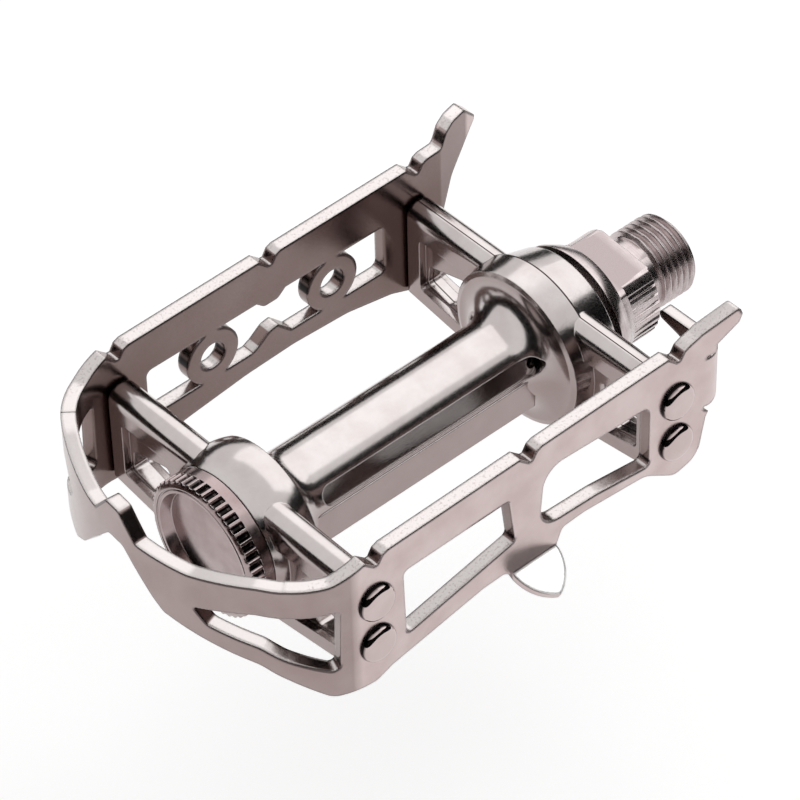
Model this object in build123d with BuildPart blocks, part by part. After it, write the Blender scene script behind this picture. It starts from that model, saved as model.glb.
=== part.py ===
from build123d import *
import os
from math import cos, pi, radians, sin, sqrt

os.makedirs("parts", exist_ok=True)

# Road bicycle pedal of the quill kind, for the left crank.
# The spindle lies along X with its thread end at +X. The sole side is up, +Z.
# The front plate, with the toe-clip eyes, is at +Y and the rear plate, with the
# pick-up tab, is at -Y. The origin is on the spindle's axis, in the plane of the
# shoulder that seats on the crank. All sizes are in millimetres.

# Spindle, from the crank end outward
thread_r = 14.29 / 2
thread_length = 7.7
thread_chamfer = 0.7
centre_mark = 1.2
neck_r = 6.4
neck_length = 2.8
collar_r = 9.5
collar_length = 6.3
flat_half = 7.5
flat_length = 8.2
flat_turn = 5.5
groove_count = 9
groove_pitch = 9.6
groove_width = 0.8
groove_depth = 0.5
flange_r = 12.0
flange_length = 4.7
flange_rim = 0.5
journal_r = 9.0
shaft_r = 5.0
tail_r = 4.6
tail_length = 9.8
tail_thread_r = 3.97
key_width = 1.2
key_depth = 0.8

# Bearings
ball_r = 3.969 / 2
race_gap = 0.08
race_lip = 0.3
cone_race_run = 1.9
cup_race_run = 1.6
race_shelf = 0.4
inner_ball_count = 12
inner_ball_circle = 8.0
outer_ball_count = 10
outer_ball_circle = 6.7
inner_cup_r = 11.3
outer_cup_r = 10.0
press_gap = 0.02
running_gap = 0.3
seal_width = 1.1

# Body casting
arm_spacing = 62.1
hub_gap = 1.7
hub_mouth_r = 12.7
hub_seam_r = 14.4
hub_edge_r = 13.8
hub_step = 0.3
hub_width = 10.35
hub_seam_back = 5.7
hub_rim = 0.9
barrel_r = 7.3
bore_r = 5.4
flare_length = 5.7
outer_hub_r = 13.2
outer_hub_edge_r = 12.8
outer_hub_mouth_r = 11.9
outer_hub_width = 8.4
outer_hub_reach = 3.4
outer_flare_length = 5.3
side_flat_half = 7.45
side_flat_top = 0.7
side_flat_bottom = -5.5
channel_width = 3.4
channel_depth = 0.7
channel_angle = 23.4
channel_overrun = 3.35
channel_shift = 2.2
oil_hole_r = 0.9

# Arms of the casting
arm_width = 5.4
arm_top = 10.5
arm_foot = -7.8
arm_root = 8.0
arm_root_foot = -10.8
arm_bead = 5.5
arm_pad = 3.5
arm_flange = 2.3
arm_corner = 1.0
web_thickness = 2.6
web_hole_root = 7.3
web_hole_reach = 5.675
web_hole_rim = 1.7
web_hole_corner = 0.9
pocket_corner = 1.0

# Cage
cage_width = 62.15
sheet = 2.4
nose_r = 45.0
corner_r = 15.4
nose_space = 11.25
flare_start = 13.2
flare_slope = 0.29
blank_low = -12.0
blank_high = 23.0
join_turn = 49.0
join_top = 14.6
join_foot = -4.2
window_top = 9.0
window_foot = -0.2
rail_low = 16.5
rail_high = 17.25
notch_depth = 1.85
notch_ramp = 2.0
tooth_top = 16.7
nose_rim_top = 12.2
eye_spacing = 25.0
eye_height = 3.45
eye_hole_r = 2.5
eye_ring_r = 5.2
eye_window_rim = 6.3
eye_window_height = 9.7
eye_window_corner = 1.2
tab_width = 9.0
tab_length = 6.8
tab_side = 0.8
tab_slope = 28.4
tab_thickness = 1.5
tab_height = -6.6
tab_shift = 1.05
rear_horn_rise = 3.65
rear_horn_reach = 11.3
rear_horn_waist = 7.7
front_horn_rise = 3.35
front_horn_reach = 15.8
ear_thickness = 1.95
ear_x = -7.55
ear_reach = 18.3
ear_top = 12.4
ear_foot = 1.0
ear_bend_r = 3.9
ear_waist_y = 24.0
ear_waist = 3.2

# Rivets
rivet_r = 1.5
rivet_head_r = 3.3
rivet_head_height = 1.3
rivet_height = 2.75
rivet_spacing = 8.8
rivet_depth = 3.0
rivet_gap = 0.06

# Dust cap
cap_r = 12.0
cap_width = 4.6
cap_rib_count = 45
cap_rib_depth = 0.45
cap_land = 0.4
cap_land_r = 11.3
cap_dish_r = 9.9
cap_floor_r = 9.4
cap_dish_depth = 1.9
cap_floor = 1.2
cap_seat = 0.15
cap_spigot_length = 2.1
cap_spigot_r = 10.6
cap_spigot_wall = 1.4

# Lock parts
washer_width = 0.8
washer_r = 6.6
nut_flats = 12.0
nut_width = 1.9

# Places along the axis, worked out from the sizes above
thread_end = neck_length + thread_length
flange_x = -(collar_length + flange_length)
hub_mouth_x = flange_x - hub_gap
hub_edge_x = hub_mouth_x - hub_width
hub_seam_x = hub_mouth_x - hub_seam_back
flare_start_x = hub_edge_x - flare_length
inner_arm_x = hub_seam_x + 0.2
outer_arm_x = inner_arm_x - arm_spacing
cage_mid_x = (inner_arm_x + outer_arm_x) / 2
outer_mouth_x = outer_arm_x - outer_hub_reach
outer_edge_x = outer_mouth_x + outer_hub_width
outer_flare_x = outer_edge_x + outer_flare_length
channel_length = flare_start_x - outer_flare_x + channel_overrun
race_r = ball_r + race_gap
inner_ball_x = hub_mouth_x - 4.8
inner_cup_back = inner_ball_x - 4.1
inner_cup_front = inner_ball_x + 3.1
spigot_x = outer_mouth_x + cap_spigot_length
outer_ball_x = spigot_x + 3.0
outer_cup_front = spigot_x + 0.2
outer_cup_back = outer_ball_x + 2.7
cone_front = outer_ball_x + 1.2
cone_back = outer_ball_x - 3.4
washer_back = cone_back - washer_width
nut_back = washer_back - nut_width
spindle_end = nut_back - 0.2
cap_face_x = outer_mouth_x - cap_width
cap_inside_x = cap_face_x + cap_dish_depth + cap_floor

# Places on the cage, worked out in the same way
half_width = cage_width / 2
inside_y = half_width - sheet
nose_reach = nose_space + sheet - cap_face_x
nose_x = nose_r - nose_reach
corner_y = half_width - corner_r
corner_x = nose_x - sqrt((nose_r - corner_r) ** 2 - corner_y ** 2)
join_x = corner_x - corner_r * sin(radians(join_turn))
join_y = corner_y + corner_r * cos(radians(join_turn))
past_y = join_y + sheet
rail_slope = (rail_high - rail_low) / arm_spacing
tab_x = cage_mid_x + tab_shift
eye_window_length = arm_spacing - 2 * eye_window_rim
ear_back_x = ear_x - ear_thickness
ear_root_x = ear_x - ear_bend_r - 1.3
eye_places = [
    (cage_mid_x + 0.25 - eye_spacing / 2, eye_height),
    (cage_mid_x + 0.25 + eye_spacing / 2, eye_height),
]
rivet_places = []
for arm_x in (inner_arm_x, outer_arm_x):
    for rise in (-rivet_spacing / 2, rivet_spacing / 2):
        rivet_places.append((arm_x, rivet_height + rise))


def outline(points):
    """A closed line through (across, up, corner radius) points."""
    corners = [(across, up) for across, up, corner in points]
    return FilletPolyline(*corners, radius=[corner for across, up, corner in points], close=True)


def outside_y(x):
    """How far out the plates' outer face stands at x, near the crank end."""
    return half_width + (x + flare_start) * flare_slope


def rail_z(x):
    """Height of the plates' upper edge at x."""
    return rail_low + (x - outer_arm_x) * rail_slope


def on_nose(points):
    """Points on the nose, each placed across by its share of the nose's half width."""
    return [(share * join_y, up, corner) for share, up, corner in points]


def beside(x, points):
    """Points given by how far they lie from x, towards the crank."""
    return [(x + along, up, corner) for along, up, corner in points]


def notch(x):
    """One notch in the upper edge, with its lowest place at x."""
    rim = rail_z(x)
    return [
        (x - notch_ramp, rim, 0),
        (x, rim - notch_depth, 0.3),
        (x + notch_ramp / 4, rim - notch_depth, 0),
        (x + notch_ramp * 2 / 3, rim - notch_depth / 4, 0.4),
        (x + notch_ramp * 6 / 5, rim, 0),
    ]


# Spindle: one turned bar, with the inboard ball race cut in its shoulder
spindle_outline = [
    (thread_end - centre_mark, 0),
    (thread_end, centre_mark),
    (thread_end, thread_r - thread_chamfer),
    (thread_end - thread_chamfer, thread_r),
    (neck_length + thread_chamfer / 2, thread_r),
    (neck_length, neck_r),
    (0, neck_r),
    (0, collar_r - 0.4),
    (-0.4, collar_r),
    (-collar_length, collar_r),
    (-collar_length, collar_r + 0.3),
    (flange_x + flange_rim, flange_r),
    (flange_x, flange_r),
    (flange_x, journal_r),
    (inner_ball_x + 2.6, journal_r),
    (inner_ball_x + cone_race_run, inner_ball_circle + 0.5),
    (inner_ball_x, inner_ball_circle - race_r + race_shelf),
    (inner_ball_x - cone_race_run, inner_ball_circle - race_r + race_lip),
    (inner_ball_x - 2.4, shaft_r),
    (hub_edge_x, shaft_r),
    (outer_ball_x + tail_length, tail_r),
    (outer_ball_x + 2.2, tail_r),
    (outer_ball_x + 1.6, tail_thread_r),
    (spindle_end + 0.5, tail_thread_r),
    (spindle_end, tail_thread_r - 0.5),
    (spindle_end, 0),
]
with BuildPart() as spindle:
    with BuildSketch(Plane.XZ):
        with BuildLine():
            Polyline(*spindle_outline, close=True)
        make_face()
        with Locations((inner_ball_x, inner_ball_circle)):
            Circle(race_r, mode=Mode.SUBTRACT)
    revolve(axis=Axis.X)
    # Two spanner flats, milled a little way into the flange
    for side in (0, 180):
        flat_plane = Plane.XY.rotated((flat_turn + side, 0, 0))
        with BuildSketch(flat_plane.offset(flat_half)):
            with Locations((-flat_length / 2, 0)):
                Rectangle(flat_length, 2 * flange_r)
        extrude(amount=flange_r, mode=Mode.SUBTRACT)
    # Fine grooves along the collar, between the flats
    for side in (90, 270):
        for k in range(groove_count):
            turn = flat_turn + side + (k - (groove_count - 1) / 2) * groove_pitch
            with BuildSketch(Plane.XY.rotated((turn, 0, 0)).offset(collar_r - groove_depth)):
                with Locations((-collar_length / 2, 0)):
                    Rectangle(collar_length, groove_width)
            extrude(amount=2 * groove_depth, mode=Mode.SUBTRACT)
    # Keyway for the lock washer's tongue
    with BuildSketch(Plane.XY.offset(tail_thread_r - key_depth)):
        with Locations(((spindle_end + cone_front) / 2, 0)):
            Rectangle(cone_front - spindle_end, key_width)
    extrude(amount=2 * key_depth, mode=Mode.SUBTRACT)
spindle.part.label = "spindle"
export_step(spindle.part, "parts/spindle.step")

# Outboard adjusting cone, its race facing the cup
with BuildPart() as outboard_cone:
    with BuildSketch(Plane.XZ):
        with BuildLine():
            Polyline(
                (cone_front, tail_thread_r + press_gap),
                (cone_front, outer_ball_circle - race_r + race_lip),
                (outer_ball_x, outer_ball_circle - race_r + race_shelf),
                (outer_ball_x - cone_race_run, outer_ball_circle + race_shelf),
                (cone_back, outer_ball_circle + race_shelf),
                (cone_back, tail_thread_r + press_gap),
                close=True,
            )
        make_face()
        with Locations((outer_ball_x, outer_ball_circle)):
            Circle(race_r, mode=Mode.SUBTRACT)
    revolve(axis=Axis.X)
outboard_cone.part.label = "outboard_cone"
export_step(outboard_cone.part, "parts/outboard_cone.step")

# Lock washer with a tongue in the spindle's keyway
with BuildPart() as lock_washer:
    with BuildSketch(Plane.YZ.offset(washer_back)):
        Circle(washer_r)
        Circle(tail_thread_r + 0.1, mode=Mode.SUBTRACT)
        with Locations((0, tail_thread_r)):
            Rectangle(key_width - 0.2, key_depth)
    extrude(amount=washer_width)
lock_washer.part.label = "lock_washer"
export_step(lock_washer.part, "parts/lock_washer.step")

# Lock nut
with BuildPart() as lock_nut:
    with BuildSketch(Plane.YZ.offset(nut_back)):
        RegularPolygon(nut_flats / 2, 6, major_radius=False)
        Circle(tail_thread_r + press_gap, mode=Mode.SUBTRACT)
    extrude(amount=nut_width)
lock_nut.part.label = "lock_nut"
export_step(lock_nut.part, "parts/lock_nut.step")

# Bearing cups, pressed into the casting
with BuildPart() as inboard_cup:
    with BuildSketch(Plane.XZ):
        with BuildLine():
            Polyline(
                (inner_cup_back, inner_cup_r - press_gap),
                (inner_cup_front, inner_cup_r - press_gap),
                (inner_cup_front, inner_ball_circle + race_r),
                (inner_ball_x, inner_ball_circle + race_r - 0.45),
                (inner_ball_x - cup_race_run, inner_ball_circle - 1.0),
                (inner_cup_back, inner_ball_circle - 1.0),
                close=True,
            )
        make_face()
        with Locations((inner_ball_x, inner_ball_circle)):
            Circle(race_r, mode=Mode.SUBTRACT)
    revolve(axis=Axis.X)
inboard_cup.part.label = "inboard_cup"
export_step(inboard_cup.part, "parts/inboard_cup.step")

with BuildPart() as outboard_cup:
    with BuildSketch(Plane.XZ):
        with BuildLine():
            Polyline(
                (outer_cup_back, outer_cup_r - press_gap),
                (outer_cup_front, outer_cup_r - press_gap),
                (outer_cup_front, outer_ball_circle + race_r),
                (outer_ball_x, outer_ball_circle + race_r - 0.45),
                (outer_ball_x + cup_race_run, outer_ball_circle - 1.0),
                (outer_cup_back, outer_ball_circle - 1.0),
                close=True,
            )
        make_face()
        with Locations((outer_ball_x, outer_ball_circle)):
            Circle(race_r, mode=Mode.SUBTRACT)
    revolve(axis=Axis.X)
outboard_cup.part.label = "outboard_cup"
export_step(outboard_cup.part, "parts/outboard_cup.step")

# Dust seal in the inboard hub's mouth
with BuildPart() as inboard_seal:
    with BuildSketch(Plane.YZ.offset(hub_mouth_x - 0.2)):
        Circle(inner_cup_r - press_gap)
        Circle(journal_r + running_gap, mode=Mode.SUBTRACT)
    extrude(amount=-seal_width)
inboard_seal.part.label = "inboard_seal"
export_step(inboard_seal.part, "parts/inboard_seal.step")

# Two rings of bearing balls
for ring, x, circle, count in (
    ("inboard_ball", inner_ball_x, inner_ball_circle, inner_ball_count),
    ("outboard_ball", outer_ball_x, outer_ball_circle, outer_ball_count),
):
    for k in range(count):
        turn = 2 * pi * k / count
        with BuildPart() as ball:
            with Locations((x, circle * sin(turn), circle * cos(turn))):
                Sphere(ball_r)
        ball.part.label = ring + "_" + str(k + 1).zfill(2)
        export_step(ball.part, "parts/" + ball.part.label + ".step")

# One arm of the casting, drawn at x = 0 on the +Y side
with BuildPart() as arm:
    with BuildSketch(Plane.YZ):
        with BuildLine():
            Polyline(
                (arm_root, arm_top),
                (inside_y, arm_top),
                (inside_y, arm_foot),
                (arm_root, arm_root_foot),
                close=True,
            )
        make_face()
    extrude(amount=arm_width / 2, both=True)
    fillet(arm.edges().filter_by(Axis.Y).group_by(Axis.Z)[-1], arm_width / 2 - 0.1)
    fillet(arm.edges().filter_by(Axis.Z).group_by(Axis.Y)[-1], arm_corner)
    # A pocket on each side leaves a thin web, and the web has one opening
    pocket_y = inside_y - arm_pad
    for side in (1, -1):
        with BuildSketch(Plane.YZ.offset(side * web_thickness / 2)):
            with BuildLine():
                outline(
                    [
                        (arm_root, arm_top - arm_bead, 0),
                        (pocket_y, arm_top - arm_bead, pocket_corner),
                        (pocket_y, arm_foot + arm_flange, pocket_corner),
                        (arm_root, arm_root_foot + arm_flange, 0),
                    ]
                )
            make_face()
        extrude(amount=side * arm_width, mode=Mode.SUBTRACT)
    with BuildSketch(Plane.YZ):
        with BuildLine():
            outline(
                [
                    (arm_root + web_hole_root, 1.6, web_hole_corner),
                    (pocket_y - 0.9, -1.0, web_hole_corner),
                    (pocket_y - 0.6, arm_foot + 3.0, web_hole_corner),
                    (pocket_y - web_hole_reach, arm_foot + web_hole_rim, web_hole_corner),
                    (arm_root + web_hole_root + 1.0, arm_foot + 3.6, web_hole_corner),
                ]
            )
        make_face()
    extrude(amount=arm_width, both=True, mode=Mode.SUBTRACT)
    # Two blind holes for the rivets
    with BuildSketch(Plane.XZ.offset(-inside_y)):
        with Locations(
            (0, rivet_height - rivet_spacing / 2),
            (0, rivet_height + rivet_spacing / 2),
        ):
            Circle(rivet_r + rivet_gap)
    extrude(amount=rivet_depth + 0.1, mode=Mode.SUBTRACT)

# Body casting: the turned hubs and barrel, then the arms, then the bores
with BuildPart() as pedal_body:
    with BuildSketch(Plane.XZ):
        with BuildLine():
            Polyline(
                (hub_edge_x - 0.3, hub_edge_r - hub_rim),
                (hub_edge_x, hub_edge_r),
                (hub_seam_x, hub_seam_r),
                (hub_seam_x, hub_seam_r - hub_step),
                (hub_mouth_x, hub_mouth_r),
                (hub_mouth_x, 0),
                (outer_mouth_x, 0),
                (outer_mouth_x, outer_hub_mouth_r),
            )
            ThreePointArc(
                (outer_mouth_x, outer_hub_mouth_r),
                (outer_arm_x, outer_hub_r),
                (outer_edge_x, outer_hub_edge_r),
            )
            Line((outer_edge_x, outer_hub_edge_r), (outer_edge_x + 0.3, outer_hub_edge_r - hub_rim))
            TangentArc(
                (outer_flare_x, barrel_r),
                (outer_edge_x + 0.3, outer_hub_edge_r - hub_rim),
                tangent=(-1, 0),
            )
            Line((outer_flare_x, barrel_r), (flare_start_x, barrel_r))
            TangentArc(
                (flare_start_x, barrel_r),
                (hub_edge_x - 0.3, hub_edge_r - hub_rim),
                tangent=(1, 0),
            )
        make_face()
    revolve(axis=Axis.X)
    # Square shoulders along the lower half of the barrel, run into the flares
    with BuildSketch(Plane.XY.offset(side_flat_bottom)):
        with Locations(((flare_start_x + outer_flare_x) / 2, 0)):
            Rectangle(flare_start_x - outer_flare_x + flare_length, 2 * side_flat_half)
    extrude(amount=side_flat_top - side_flat_bottom)
    for x in (inner_arm_x, outer_arm_x):
        for turn in (0, 180):
            with Locations((x, 0, 0)):
                if turn == 0:
                    add(arm.part)
                else:
                    add(arm.part.mirror(Plane.XZ))
    # Bores for the inboard cup, the spindle, the outboard cup and the cap's spigot
    for start_x, end_x, radius in (
        (inner_cup_back, hub_mouth_x, inner_cup_r),
        (outer_cup_back, inner_cup_back, bore_r),
        (spigot_x, outer_cup_back, outer_cup_r),
        (outer_mouth_x, spigot_x, cap_spigot_r + running_gap),
    ):
        with BuildSketch(Plane.YZ.offset(start_x)):
            Circle(radius)
        extrude(amount=end_x - start_x, mode=Mode.SUBTRACT)
    # A shallow channel with round ends along each side of the barrel
    for turn in (90 - channel_angle, channel_angle - 90):
        side_plane = Plane.XY.rotated((turn, 0, 0)).offset(barrel_r - channel_depth)
        with BuildSketch(side_plane):
            with Locations(((flare_start_x + outer_flare_x) / 2 + channel_shift, 0)):
                SlotOverall(channel_length, channel_width)
        extrude(amount=barrel_r, mode=Mode.SUBTRACT)
    # Oil hole at the inboard end of the rear channel
    with BuildSketch(Plane.XY.rotated((90 - channel_angle, 0, 0)).offset(bore_r - 1.0)):
        with Locations((hub_edge_x - 2.45, 0)):
            Circle(oil_hole_r)
    extrude(amount=barrel_r, mode=Mode.SUBTRACT)
pedal_body.part.label = "pedal_body"
export_step(pedal_body.part, "parts/pedal_body.step")

# Cage, first as a plain bent strip: two plates, two round corners and the nose
with BuildPart() as cage_strip:
    with BuildSketch(Plane.XY.offset(blank_low)) as plan:
        with Locations((nose_x, 0)):
            Circle(nose_r)
        with Locations((nose_x - nose_r, 0)):
            Rectangle(2 * nose_r, cage_width, mode=Mode.INTERSECT)
        fillet(plan.vertices().group_by(Axis.X)[0], corner_r)
        with BuildLine():
            Polyline(
                (nose_x, -half_width),
                (-flare_start, -half_width),
                (0, -half_width - flare_start * flare_slope),
                (0, half_width + flare_start * flare_slope),
                (-flare_start, half_width),
                (nose_x, half_width),
                close=True,
            )
        make_face()
        offset(amount=-sheet, kind=Kind.INTERSECTION, mode=Mode.SUBTRACT)
    extrude(amount=blank_high - blank_low)

# Upper edge of both plates, from the nose to the notch over the inboard arm
upper_edge = [
    (join_x, join_top, 0),
    (outer_arm_x - 7.7, join_top + 0.1, 5),
    *notch(outer_arm_x),
    *notch(cage_mid_x),
    *notch(inner_arm_x),
]
# Lower edge round the outboard arm's foot, back to the nose
lower_nose_edge = [
    *beside(outer_arm_x, [(2.9, -8.7, 2), (-0.3, -9.9, 2.5), (-7.9, -9.0, 4)]),
    (join_x, join_foot, 0),
]
# Horn, crank edge and lower edge of the rear plate
rear_edge = [
    *beside(
        inner_arm_x,
        [
            (4.6, rail_high + 0.5, 4),
            (rear_horn_reach, rail_high + rear_horn_rise, 0.5),
            (rear_horn_reach + 0.5, rail_high + rear_horn_rise - 1.5, 0.5),
            (rear_horn_reach, rail_high + rear_horn_rise - 3.0, 1.0),
            (rear_horn_waist, ear_top + 2.3, 0.8),
            (rear_horn_waist, ear_top + 0.7, 0.3),
        ]
    ),
    (ear_x - ear_bend_r - 0.7, ear_top + 0.5, 0.2),
    (ear_x - ear_bend_r - 0.9, ear_top - 1.0, 0),
    (ear_x - ear_bend_r - 0.9, ear_foot + 0.8, 0),
    *beside(
        inner_arm_x,
        [
            (6.6, ear_foot, 0),
            (6.2, 0.0, 0.4),
            (5.0, -8.0, 3.2),
            (0, -9.1, 2.8),
            (-6.4, -4.9, 5),
        ]
    ),
    (cage_mid_x + 11.55, -3.6, 10),
    (cage_mid_x + 6.85, -3.8, 1.2),
    (tab_x + tab_width / 2, tab_height - 0.3, 0),
    (tab_x - tab_width / 2, tab_height - 0.3, 0),
    (cage_mid_x - 5.35, -5.5, 1),
    (cage_mid_x - 9.75, -5.6, 3),
]
# Horn, crank edge and lower edge of the front plate
front_edge = [
    *beside(
        inner_arm_x,
        [
            (5.6, rail_high + 0.2, 1),
            (front_horn_reach - 8.7, rail_high + front_horn_rise - 0.8, 1.2),
            (front_horn_reach - 6.6, rail_high + front_horn_rise, 2),
            (front_horn_reach - 3.3, rail_high + front_horn_rise - 0.3, 1.5),
            (front_horn_reach, rail_high - 0.55, 1.0),
            (front_horn_reach - 2.8, rail_high - 3.25, 3),
            (front_horn_reach - 7.2, rail_high - 7.65, 5),
            (5.8, 3.4, 8),
            (4.8, -8.0, 3.2),
            (0, -9.4, 2.8),
            (-5.8, -7.1, 5),
        ]
    ),
    (cage_mid_x + 15.75, -5.2, 10),
    (cage_mid_x + 4.25, -4.6, 20),
    (cage_mid_x - 5.75, -5.0, 20),
    (outer_arm_x + 12.3, -6.4, 15),
]
# The nose seen from outboard, with the tooth on its upper edge
nose_edge = [
    (-past_y, join_top, 0),
    *on_nose(
        [
            (-0.87, join_top - 0.2, 8),
            (-0.45, nose_rim_top + 0.1, 10),
            (-0.07, nose_rim_top, 0.6),
            (0.07, tooth_top, 1.2),
            (0.195, tooth_top, 1.2),
            (0.335, nose_rim_top, 0.6),
            (0.45, nose_rim_top + 0.1, 0),
            (0.87, join_top - 0.2, 8),
        ]
    ),
    (past_y, join_top, 0),
    (past_y, join_foot - 0.6, 0),
    *on_nose(
        [
            (1, join_foot, 0),
            (0.87, -3.7, 3),
            (0.71, -3.6, 2.5),
            (0.54, -0.3, 3),
            (0.42, 3.5, 8),
            (0.19, 9.8, 1.5),
            (0.055, 9.8, 1.5),
            (-0.18, 3.3, 3),
            (-0.265, 1.4, 2),
            (-0.585, -0.3, 6),
            (-0.87, -1.9, 5),
            (-1, join_foot, 0),
        ]
    ),
    (-past_y, join_foot - 1.2, 0),
]
# Two low bumps between the toe-clip eyes, on the window's upper and lower edges
upper_bump = [
    (cage_mid_x - 3.4, rail_low - 4.0, 0),
    (cage_mid_x - 3.4, 8.9, 1.0),
    (cage_mid_x - 1.4, 7.1, 1.2),
    (cage_mid_x + 1.4, 7.1, 1.5),
    (cage_mid_x + 3.6, 8.9, 1.5),
    (cage_mid_x + 3.6, rail_low - 4.0, 0),
]
lower_bump = [
    (cage_mid_x - 5.0, -3.0, 0),
    (cage_mid_x - 4.4, -1.2, 0.8),
    (cage_mid_x - 3.0, -0.5, 1.0),
    (cage_mid_x - 0.6, 1.3, 1.0),
    (cage_mid_x + 1.2, 1.6, 0.5),
    (cage_mid_x + 4.4, -1.6, 0),
    (cage_mid_x + 4.4, -3.0, 0),
]
corner_window = [
    (outer_arm_x - 6.3, window_top, 1.0),
    (join_x, window_top, 0),
    (join_x, window_foot, 0),
    (outer_arm_x - 6.7, -4.0, 1.0),
]
near_nose_window = [
    (-past_y, window_top, 0),
    *on_nose(
        [
            (-0.855, window_top - 0.3, 3),
            (-0.48, 5.9, 0.4),
            (-0.575, 3.2, 1.5),
            (-0.87, 1.8, 3),
            (-1, window_foot, 0),
        ]
    ),
    (-past_y, window_foot - 1.2, 0),
]
far_nose_window = [
    (past_y, window_top, 0),
    *on_nose(
        [
            (0.875, window_top - 0.7, 3),
            (0.72, 5.9, 0.4),
            (0.795, 3.2, 1.5),
            (1, window_foot, 0),
        ]
    ),
    (past_y, window_foot - 1.2, 0),
]
rear_windows = [
    [
        (inner_arm_x - 5.6, -3.1, 1),
        (inner_arm_x - 5.6, 9.7, 2),
        (cage_mid_x + 3.05, 11.1, 4),
        (cage_mid_x + 1.95, -0.9, 4),
        (cage_mid_x + 14.25, -1.5, 0),
    ],
    [
        (cage_mid_x - 2.95, 0.2, 1),
        (cage_mid_x - 4.15, 9.6, 1),
        (outer_arm_x + 5.4, 9.5, 1),
        (outer_arm_x + 5.8, -4.2, 1),
    ],
    corner_window,
]
with BuildPart() as cage_profile:
    # Rear plate
    with BuildSketch(Plane.XZ):
        with BuildLine():
            outline(upper_edge + rear_edge + lower_nose_edge)
        make_face()
        for window in rear_windows:
            with BuildLine():
                outline(window)
            make_face(mode=Mode.SUBTRACT)
        with Locations(*rivet_places):
            Circle(rivet_r + rivet_gap, mode=Mode.SUBTRACT)
    extrude(amount=cage_width)
    # Front plate, with the two toe-clip eyes in one long window
    with BuildSketch(Plane.XZ):
        with BuildLine():
            outline(upper_edge + front_edge + lower_nose_edge)
        make_face()
        with BuildLine():
            outline(corner_window)
        make_face(mode=Mode.SUBTRACT)
        with Locations((cage_mid_x - 0.8, eye_height + 0.2)):
            RectangleRounded(
                eye_window_length, eye_window_height, eye_window_corner, mode=Mode.SUBTRACT
            )
        with Locations(*eye_places):
            Circle(eye_ring_r)
            Circle(eye_hole_r, mode=Mode.SUBTRACT)
        for bump in (upper_bump, lower_bump):
            with BuildLine():
                outline(bump)
            make_face()
        with Locations(*rivet_places):
            Circle(rivet_r + rivet_gap, mode=Mode.SUBTRACT)
    extrude(amount=-cage_width)
    # Nose
    with BuildSketch(Plane.YZ.offset(join_x)):
        with BuildLine():
            outline(nose_edge)
        make_face()
        for window in (near_nose_window, far_nose_window):
            with BuildLine():
                outline(window)
            make_face(mode=Mode.SUBTRACT)
    extrude(amount=-nose_r)

with BuildPart() as cage_blank:
    add(cage_strip.part)
    add(cage_profile.part, mode=Mode.INTERSECT)

# The round end is made again from its outer skin, so that its edges are square
# to the sheet all the way round, and the straight plates are kept as they are
skins = []
for face in cage_blank.faces().filter_by(GeomType.CYLINDER):
    if abs(face.radius - corner_r) < 0.01 or abs(face.radius - nose_r) < 0.01:
        skins.append(face)

# Ear bent inward from the rear plate's crank edge
with BuildPart() as ear:
    with BuildSketch(Plane.XY.offset(ear_foot)):
        with BuildLine():
            outline(
                [
                    (ear_root_x, -outside_y(ear_root_x), 0),
                    (ear_x, -outside_y(ear_x), ear_bend_r),
                    (ear_x, -ear_reach, 0),
                    (ear_back_x, -ear_reach, 0),
                    (ear_back_x, ear_thickness - outside_y(ear_back_x), ear_bend_r - ear_thickness),
                    (ear_root_x, ear_thickness - outside_y(ear_root_x), 0),
                ]
            )
        make_face()
    extrude(amount=ear_top - ear_foot)
    # Its lower edge climbs from the plate to the narrow free end
    with BuildSketch(Plane.YZ.offset(ear_x)):
        with BuildLine():
            outline(
                [
                    (-half_width - sheet, ear_top, 0),
                    (-ear_reach, ear_top, 0.8),
                    (-ear_reach, ear_top - 1.6, 0.8),
                    (-ear_waist_y, ear_top - ear_waist, 6),
                    (-inside_y, 3.6, 3),
                    (-half_width - sheet, ear_foot, 0),
                ]
            )
        make_face()
    extrude(amount=ear_root_x - ear_x, mode=Mode.INTERSECT)

with BuildPart() as cage:
    add(cage_blank.part)
    split(bisect_by=Plane.YZ.offset(corner_x), keep=Keep.TOP)
    for skin in skins:
        thicken(skin, amount=-sheet)
    add(ear.part)
    # Pick-up tab, a pointed tongue that slopes outward and down from the rear plate
    tab_plane = Plane(
        origin=(tab_x, -half_width, tab_height),
        x_dir=(1, 0, 0),
        z_dir=(0, -sin(radians(tab_slope)), cos(radians(tab_slope))),
    )
    with BuildSketch(tab_plane):
        with BuildLine():
            Polyline(
                (-tab_width / 2, -tab_side),
                (-tab_width / 2, sheet),
                (tab_width / 2, sheet),
                (tab_width / 2, -tab_side),
            )
            for side in (1, -1):
                ThreePointArc(
                    (side * tab_width / 2, -tab_side),
                    (side * tab_width * 0.29, -tab_length * 0.72),
                    (0, -tab_length),
                )
        make_face()
    extrude(amount=-tab_thickness)
cage.part.label = "cage"
export_step(cage.part, "parts/cage.step")

# Eight rivets, two at the end of each arm
rivet_number = 0
for side in (-1, 1):
    for x, z in rivet_places:
        rivet_number = rivet_number + 1
        with BuildPart() as rivet:
            with BuildSketch(Plane(origin=(x, 0, z), x_dir=(1, 0, 0), z_dir=(0, 0, side))):
                with BuildLine():
                    Polyline(
                        (0, half_width + rivet_head_height),
                        (0, inside_y - rivet_depth),
                        (rivet_r, inside_y - rivet_depth),
                        (rivet_r, half_width),
                        (rivet_head_r, half_width),
                        (rivet_head_r, half_width + 0.2),
                    )
                    TangentArc(
                        (0, half_width + rivet_head_height),
                        (rivet_head_r, half_width + 0.2),
                        tangent=(1, 0),
                    )
                make_face()
            revolve(axis=Axis((x, 0, z), (0, 1, 0)))
        rivet.part.label = "rivet_" + str(rivet_number)
        export_step(rivet.part, "parts/" + rivet.part.label + ".step")

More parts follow.
